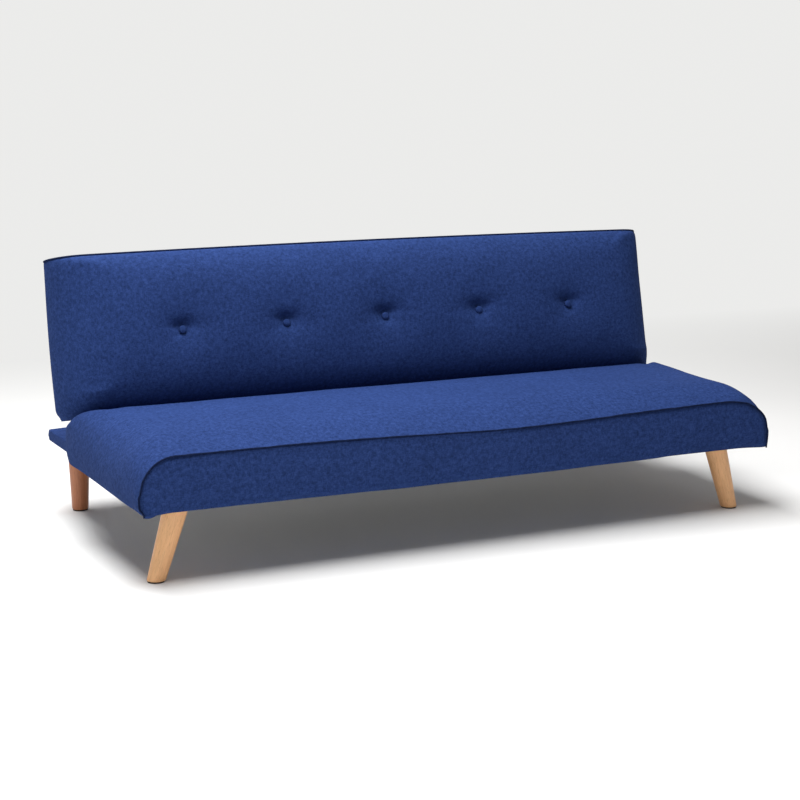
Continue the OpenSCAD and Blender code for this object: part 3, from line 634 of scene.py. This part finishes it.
def front_place(x, v, near):
    """The seat's front panel: a little full, rolled in to its seam, turned under along the hem."""
    hem = 1 - smoothstep(0, 0.009, v - UNDER)
    edge = (1 - smoothstep(0, 0.007, near)) * (1 - hem)
    full = 0.0045 * smoothstep(0, 0.06, near) + 0.0008 * wobble((x * 5, 0, v * 9), 1, 3.0)
    ripple = 0.0008 * wobble((x * 40, 0, v * 6), 1, 7.0) * exp(-near / 0.02)
    dip = (seam_dip(x) + corner_dip(x)) * smoothstep(UNDER + 0.02, SEAM_Z, v)
    sag = 0.0055 * exp(-(x / 0.6) ** 2) + 0.009 * exp(-((abs(x) - HALF + 0.02) / 0.022) ** 2)
    sag += 0.0012 * wobble((x * 7, 0, 0), 1, 9.0) - 0.005 * smoothstep(0.50, 0.65, x)
    return Vector((seat_width(x) + left_tuck(x, v),
                   FRONT + 0.0015 - full - ripple + 0.0035 * edge + 0.009 * hem,
                   v - dip - sag * (1 - smoothstep(UNDER, UNDER + 0.05, v))))


front = patch("seat_front_face", HALF - 0.0062, UNDER - 0.001, SEAM_Z - 0.003, 0.088, front_place)
seam = []
for p in seat_seam:
    out = 0.0012 if abs(p.x) > HALF - 0.022 and p.z < SEAM_Z - 0.060 else 0
    seam.append(Vector((p.x - out * outward_sign(p.x), FRONT + 0.0012, p.z - 0.0004)))
seat_cord = tube("seat_welt", seam, SEAT_CORD_R)
# The slots in the seat run from 66 mm in front of the hinge pins to the rear face.
cut_slots(seat, slot_pair(*SLOT_X, (pivot.y - 0.066, UNDER + 0.033), (REAR + 0.02, TOP + 0.02)))
dress(seat, fabric_seat, "base_seat", "upholstery", "seat_cover", "seat_foam")
dress(front, fabric_seat, "base_seat", "upholstery", "seat_front_panel")
dress(seat_cord, fabric_piping_seam_shade, "base_seat", "piping", "seat_piping")

# ---- Base covers ----

CORNERS = (1, 1), (-1, 1), (-1, -1), (1, -1)
WRAP_R = 0.005  # edge radius of the wrapped rails
UNDER_SEAT = Vector((0, 0.012, 0))  # how far the side wraps run on under the seat


def sleeve(name, low, high, axis, rounded):
    """Fabric drawn tight round a flat rail along an axis, with soft edges. rounded softens its far end."""
    a, b = [k for k in range(3) if k != axis]
    half, middle = (high - low) / 2, (high + low) / 2
    length = high[axis] - low[axis]
    ends = [0.0, 0.0015, WRAP_R]
    steps = ends + [WRAP_R + (length - 2 * WRAP_R) * i / 16 for i in range(1, 16)]
    steps += [length - e for e in reversed(ends)]
    loops = []
    for t in steps:
        close = sqrt(max(0, 1 - (1 - min((length - t) / WRAP_R, 1)) ** 2)) if rounded else 1
        r = WRAP_R - 0.004 * (1 - close)
        outline = []
        for corner, (sa, sb) in enumerate(CORNERS):
            at = Vector((sa * (half[a] - WRAP_R), sb * (half[b] - WRAP_R)))
            next_a, next_b = CORNERS[(corner + 1) % 4]
            following = Vector((next_a * (half[a] - WRAP_R), next_b * (half[b] - WRAP_R)))
            turns = [pi / 2 * (corner + i / 4) for i in range(5)]
            outline += [at + r * Vector((cos(turn), sin(turn))) for turn in turns]
            off = WRAP_R * Vector((cos(turns[-1]), sin(turns[-1])))
            outline += [at.lerp(following, i / 4) + off for i in range(1, 4)]
        loop = []
        for q in outline:
            p = Vector((0, 0, 0))
            p[a], p[b], p[axis] = middle[a] + q.x, middle[b] + q.y, low[axis] + t
            p[b] += 0.0003 * wobble(p, 14.0, 5.0)
            loop.append(p)
        loops.append(loop)
    return subdivide(loft(name, loops))


for label in ("left", "right"):
    low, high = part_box("base_%s_cover" % label)
    piece = sleeve("base_%s_wrap" % label, low - UNDER_SEAT, high, 1, True)
    dress(piece, fabric_seat, "base_seat", "upholstery", "base_%s_cover" % label)
piece = sleeve("base_rear_wrap", *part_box("base_rear_cover"), 0, False)
dress(piece, fabric_seat, "base_seat", "upholstery", "base_rear_cover")

# ---- Back, drawn upright with the hinge pin at the origin, then leaned ----

TO_BACK = Matrix.Translation(pivot) @ Matrix.Rotation(-LEAN, 4, "X")
FACE = -0.070  # the flat front face behind the back's crown
LOW, HIGH = 0.018, 0.428
LOW_R, TOP_R = 0.0635, 0.022
BUTTON_Z = HIGH - 0.205
BUTTON_R, BUTTON_T = 0.0105, 0.0085
TIE_END = -0.0825  # a button further back than this would let its tie through
BUTTONS = [i * 0.289 for i in range(-2, 3)]
DIMPLE, DIMPLE_REACH = 0.019, 0.16  # depth of a button's hollow, and how far it is felt
PINCH, PINCH_UP = 0.0092, 0.011  # depth of the sharp fold and its height over the button
BACK_STEPS = 7, 12, 168, 36  # as SEAT_STEPS, seen from above


def back_rear(z):
    """How far the back's rear face is behind the hinge pin."""
    up = min(max((z - LOW) / (HIGH - LOW), 0), 1)
    return 0.0612 - 0.0155 * smoothstep(0.06, HIGH, z) + 0.0025 * sin(pi * up)


def back_crown(x, z):
    """How far the filling stands out in front of the flat face."""
    up = min(max((z - 0.030) / (HIGH - 0.030), 0), 1)
    return 0.039 * (1 - abs(x / HALF) ** 5) * 4 * up * (1 - up)


def dimple(x, z):
    """Depth of the hollows round the buttons, with the small folds that run out of them."""
    total = 0.0
    for k, b in enumerate(BUTTONS):
        dx, dz = x - b, z - BUTTON_Z
        r = sqrt((dx / 1.35) ** 2 + dz ** 2)
        if r > DIMPLE_REACH:
            continue
        angle = atan2(dz, dx)
        folds = cos(5 * angle + k * 1.3) + 0.6 * cos(8 * angle + k * 2.1)
        band = smoothstep(0.010, 0.022, r) * (1 - smoothstep(0.028, 0.062, r))
        total += DIMPLE * (0.80 * exp(-(max(r - 0.009, 0) / 0.014)) + 0.20 * exp(-(r / 0.055) ** 2))
        total += 0.0009 * folds * band
    return total


def top_bow(x):
    """How far the back's upper edge rises in the middle and falls at its ends."""
    return 0.005 - 0.006 * (x / HALF) ** 2


def back_rows():
    """Stations up the back: z, front, rear and half width."""
    low_turns = [pi / 2 * i / 10 for i in range(10)]
    top_turns = [pi / 2 * i / 7 for i in range(8)]
    z0, z1, count = LOW + LOW_R, HIGH - TOP_R, 38
    rows = [(LOW + LOW_R * (1 - cos(a)), FACE + LOW_R * (1 - sin(a))) for a in low_turns]
    rows += [(z0 + (z1 - z0) * i / count, FACE) for i in range(count)]
    rows += [(z1 + TOP_R * sin(a), FACE + TOP_R * (1 - cos(a))) for a in top_turns]
    out = []
    for z, y in rows:
        tuck = 0.001 * (1 - sqrt(max(0, 1 - max(0, (z - HIGH + 0.012) / 0.012) ** 2)))
        out.append((z, y, back_rear(z) - 0.0018, HALF - tuck))
    return out


def back_shape(ease):
    """The back's skin as loops from its foot to its top seam, with 1 for each point that is held."""
    loops, hold = [], []
    for z, front_y, rear_y, half in back_rows():
        loop = []
        depth = rear_y - front_y
        radius = min(0.110, 0.92 * depth)
        for x, v in section(half, -front_y, radius, -rear_y, *BACK_STEPS):
            ahead = smoothstep(-rear_y + depth - radius, -front_y, v) if v < -front_y - 1e-6 else 1.0
            low_end = smoothstep(LOW, LOW + LOW_R, z)
            top_end = 1 - smoothstep(HIGH - 0.03, HIGH, z)
            free = ahead * low_end
            out = back_crown(x, z) * free * (1 - ease)
            out -= dimple(x, z) * ahead
            crease = exp(-((z - 0.083 - 0.25 * (abs(x) - 0.84) ** 2) / 0.006) ** 2)
            out += 0.0035 * crease * smoothstep(0.70, 0.84, abs(x)) * free
            uneven = 0.0013 * wobble((x, 0, z), 6.0, 11.0) + 0.0006 * wobble((x, 0, z), 17.0, 12.0)
            out += uneven * free * top_end
            out += 0.0009 * wobble((x * 36, 0, z * 9), 1.0, 14.0) * exp(-(HIGH - z) / 0.03) * ahead
            puff = 0.003 * sin(pi * (z - LOW) / (HIGH - LOW)) * (abs(x) > half - 1e-4)
            wide = back_width(x + puff * outward_sign(x))
            wide += 0.012 * (1 - smoothstep(LOW, LOW + 0.026, z)) * smoothstep(0.78, HALF, -x)
            wide += 0.006 * (1 - smoothstep(LOW, LOW + 0.090, z)) * smoothstep(0.78, HALF, x)
            loop.append(Vector((wide, -v - out, z + top_bow(x) * smoothstep(0.26, HIGH, z))))
            sewn = 1.0 if (z > HIGH - 0.004 or z < LOW + 0.01 or v < -rear_y + 0.012) else 0.0
            for b in BUTTONS:
                if v > -front_y - 1e-6 and (x - b) ** 2 + (z - BUTTON_Z) ** 2 < 0.012 ** 2:
                    sewn = 1.0
            hold.append(sewn)
        loops.append(loop)
    return loops, hold


loops, hold = back_shape(BACK_ROOM)
top_seam = open_edge(loops[-1], BACK_STEPS)
back = loft("back_upholstery", loops)
inflate(back, hold, PRESSURE, BACK_SWELL)
subdivide(back)
# Each button's tie pinches the cloth into a sharp fold just above the button.
for v in back.data.vertices:
    if v.co.y < FACE + 0.03:
        for b in BUTTONS:
            dx = (v.co.x - b) / 0.034
            dz = v.co.z - BUTTON_Z - PINCH_UP
            dz /= 0.017 if dz > 0 else 0.009
            v.co.y += PINCH * exp(-dx * dx - dz * dz)
button_at = []
for b in BUTTONS:
    near = min((v.co for v in back.data.vertices if v.co.y < 0),
               key=lambda c: (c.x - b) ** 2 + (c.z - BUTTON_Z) ** 2)
    button_at.append(Vector((b, min(near.y, TIE_END), BUTTON_Z)))
# In the back they run up to 92 mm above the pins.
back_slots = slot_pair(SLOT_X[0] + 0.001, SLOT_X[1], (-0.036, 0.0), (0.10, 0.092))
cut_slots(back, back_slots)


def top_place(x, v, near):
    """The top panel, a little full so that it shows above its seam."""
    full = (0.003 + 0.006 * exp(-((x + 0.66) / 0.12) ** 2)) * smoothstep(0, 0.040, near)
    roll = -0.003 * (1 - smoothstep(0, 0.006, near))
    rise = full + top_bow(x) + roll + 0.0006 * wobble((x * 9, v * 9, 0), 1, 21.0)
    return Vector((back_width(x), -v, HIGH - 0.001 + rise))


def rear_place(x, v, near):
    """The panel across the back's rear, stapled tight along its edges."""
    roll = 0.004 * (1 - smoothstep(0, 0.007, near))
    full = 0.0015 * smoothstep(0, 0.08, near) + 0.0007 * wobble((x * 6, 0, v * 6), 1, 25.0)
    over_base = smoothstep(0.64, 0.74, abs(x))  # flat where it lies over the base when folded down
    full = full * (1 - over_base) - 0.0012 * over_base
    return Vector((back_width(x), back_rear(v) + full - roll, v + top_bow(x) * smoothstep(0.26, HIGH, v)))


inner = max(abs(p.x) for p in top_seam) - 0.003
top_panel = patch("back_top_face", inner, -back_rear(HIGH) + 0.003, 0.0445, 0.082, top_place, rows=6)
rear_panel = patch("back_rear_face", HALF - 0.009, LOW + 0.004, HIGH - 0.003, 0.008, rear_place, rows=22)
cut_slots(rear_panel, back_slots)
cord_path = []
for p in top_seam:
    into = 0.0012 * outward_sign(p.x) * (abs(p.x) > inner - 0.02)
    cord_path.append(p + Vector((-into, -0.0004, 0.0012)))
back_cord = tube("back_welt", cord_path, BACK_CORD_R)


def button(name, at, turn):
    """A covered button: a low dome of cloth with a rolled rim and faint gathers."""
    profile = [(0.25, -0.009), (0.80, -0.009), (0.90, -0.002), (0.97, 0.0012), (1.0, 0.0030),
               (0.98, 0.0048), (0.86, 0.0066), (0.62, 0.0079), (0.32, BUTTON_T - 0.0001), (0.10, BUTTON_T)]
    rim = (3, 4, 5)  # the rings of the profile with gathers
    sunk = 0.0015  # how far the button sits in its hollow
    loops = []
    for k, (share, up) in enumerate(profile):
        loop = []
        for i in range(32):
            a = 2 * pi * i / 32 + turn
            r = BUTTON_R * share * (1 + 0.012 * cos(11 * a) * (k in rim))
            loop.append(at + Vector((r * cos(a), -up + sunk, r * sin(a))))
        loops.append(loop)
    return subdivide(loft(name, loops))


buttons = [button("back_button_%d" % (i + 1), at, 0.4 * i) for i, at in enumerate(button_at)]
for piece in (back, top_panel, rear_panel, back_cord, *buttons):
    piece.data.transform(TO_BACK)
dress(back, fabric_back, "backrest", "upholstery", "back_cover", "back_foam")
dress(top_panel, fabric_back, "backrest", "upholstery", "back_top_panel")
dress(rear_panel, fabric_back, "backrest", "upholstery", "back_rear_panel")
dress(back_cord, fabric_piping_seam_shade, "backrest", "piping", "back_piping")
for i, piece in enumerate(buttons):
    dress(piece, fabric_back, "backrest", "upholstery", *(["back_buttons"] if i == 2 else []))

# ---- Legs ----

def turned_leg(name, top, foot, r_top, r_foot, low, high):
    """A round tapered leg, cut level at the plate and at the floor, with its edges eased."""
    splay = atan2(abs(foot.x - top.x), high - low)
    loops = []
    ease = 0.0032  # radius of the eased edges
    heights = [0.0, 0.0008, 0.002, ease] + [ease + (high - low - 2 * ease) * i / 14 for i in range(1, 14)]
    heights += [high - low - ease, high - low - 0.001, high - low]
    for h in heights:
        t = h / (high - low)
        end = min(h, high - low - h)
        worn = ease * (1 - sqrt(max(0, 1 - (1 - min(end / ease, 1)) ** 2)))
        r = r_foot + (r_top - r_foot) * t - worn
        centre = foot.lerp(top, t)
        turns = [2 * pi * i / 40 for i in range(40)]
        loops.append([Vector((centre.x + r / cos(splay) * cos(a), centre.y + r * sin(a), low + h))
                      for a in turns])
    return loft(name, loops)


SPLAY = {"front_left": -17, "front_right": 17, "rear_left": 0, "rear_right": 0}
rear_low, rear_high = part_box("rear_left_leg")
LEG_TOP_R = (rear_high.x - rear_low.x) / 2 - 0.0002
LEG_FOOT_R = feet["front_left_foot"].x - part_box("foot_glides")[0].x + 0.0018
for label, angle in SPLAY.items():
    low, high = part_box(label + "_leg")
    at = feet[label + "_foot"]
    top = Vector((at.x - high.z * tan(radians(angle)), at.y, high.z))
    foot = at.lerp(top, low.z / high.z)
    leg = turned_leg("%s_turned_leg" % label, top, foot, LEG_TOP_R, LEG_FOOT_R, low.z, high.z)
    dress(leg, leg_wood[angle], "base_seat", "leg_wood", label + "_leg")

# ---- Room, light and camera ----

def studio():
    """A pale floor that curves up into a pale backdrop with a glow of its own."""
    bm = bmesh.new()
    flat_end, bend = 3.2, 1.8
    turns = [pi / 2 * i / 12 for i in range(1, 13)]
    line = [(-8.0, 0.0), (-3.0, 0.0), (0.0, 0.0), (1.5, 0.0), (flat_end, 0.0)]
    line += [(flat_end + bend * sin(a), bend * (1 - cos(a))) for a in turns]
    line += [(flat_end + bend, 2.6)]
    rows = [[bm.verts.new((x, y, z)) for y, z in line] for x in (-9, -3, 3, 9)]
    for a, b in zip(rows, rows[1:]):
        for i in range(len(line) - 1):
            bm.faces.new((a[i], b[i], b[i + 1], a[i + 1]))
    mesh = bpy.data.meshes.new("studio")
    bm.to_mesh(mesh)
    bm.free()
    mesh.polygons.foreach_set("use_smooth", [True] * len(mesh.polygons))
    room = bpy.data.objects.new("studio", mesh)
    scene.collection.objects.link(room)
    n = Nodes("pale_floor")
    far = n.spread(n.split(n.place)[1], 0.4, 2.8)
    tone = n.ramp(n.noise(n.place, 1.5, 3.0), [(0.3, (0.79, 0.79, 0.785)), (0.7, (0.81, 0.81, 0.805))])
    glow = (0.835, 0.835, 0.825)
    n.set(Base_Color=n.mix(far, tone, (0, 0, 0)), Specular_IOR_Level=0.0,
          Emission_Color=n.mix(far, (0, 0, 0), glow), Emission_Strength=1.0,
          Roughness=n.spread(n.noise(n.place, 40.0), 0.3, 0.7, 0.85, 0.95))
    mesh.materials.append(n.material)


def area(name, at, aim, width, depth, watts):
    """A soft rectangular light at a place, turned towards another."""
    light = bpy.data.lights.new(name, "AREA")
    light.shape, light.size, light.size_y = "RECTANGLE", width, depth
    light.energy = watts
    obj = bpy.data.objects.new(name, light)
    scene.collection.objects.link(obj)
    obj.location = at
    obj.rotation_euler = (Vector(aim) - Vector(at)).to_track_quat("-Z", "Y").to_euler()


studio()
area("overhead", at=(-0.9, 0.04, 3.2), aim=(-0.4, 0.0, 0), width=4.0, depth=2.0, watts=250)
area("front_fill", at=(-1.8, -4.6, 0.5), aim=(-0.6, -0.4, 0.10), width=2.6, depth=0.7, watts=6)
world = bpy.data.worlds.new("studio_air")
world.use_nodes = True
air = world.node_tree.nodes["Background"].inputs
air["Color"].default_value = (1.0, 0.97, 0.94, 1)
air["Strength"].default_value = 0.26
scene.world = world
scene.view_settings.view_transform = "Standard"

# The camera stands to the left of the sofa and above it, and looks down along ahead.
CAMERA_AT = (-2.121, -4.253, 1.215)
yaw, pitch, roll = radians(26.44), radians(10.87), radians(0.22)
ahead = Vector((sin(yaw) * cos(pitch), cos(yaw) * cos(pitch), -sin(pitch)))
flat_right = Vector((cos(yaw), -sin(yaw), 0))
flat_up = flat_right.cross(ahead)
right = cos(roll) * flat_right + sin(roll) * flat_up
up = -sin(roll) * flat_right + cos(roll) * flat_up
lens = bpy.data.cameras.new("camera")
lens.sensor_width, lens.lens = 36, 81.3
lens.clip_end = 60
camera = bpy.data.objects.new("camera", lens)
scene.collection.objects.link(camera)
turn = Matrix((right, up, -ahead)).transposed().to_4x4()
camera.matrix_world = Matrix.Translation(CAMERA_AT) @ turn
scene.camera = camera
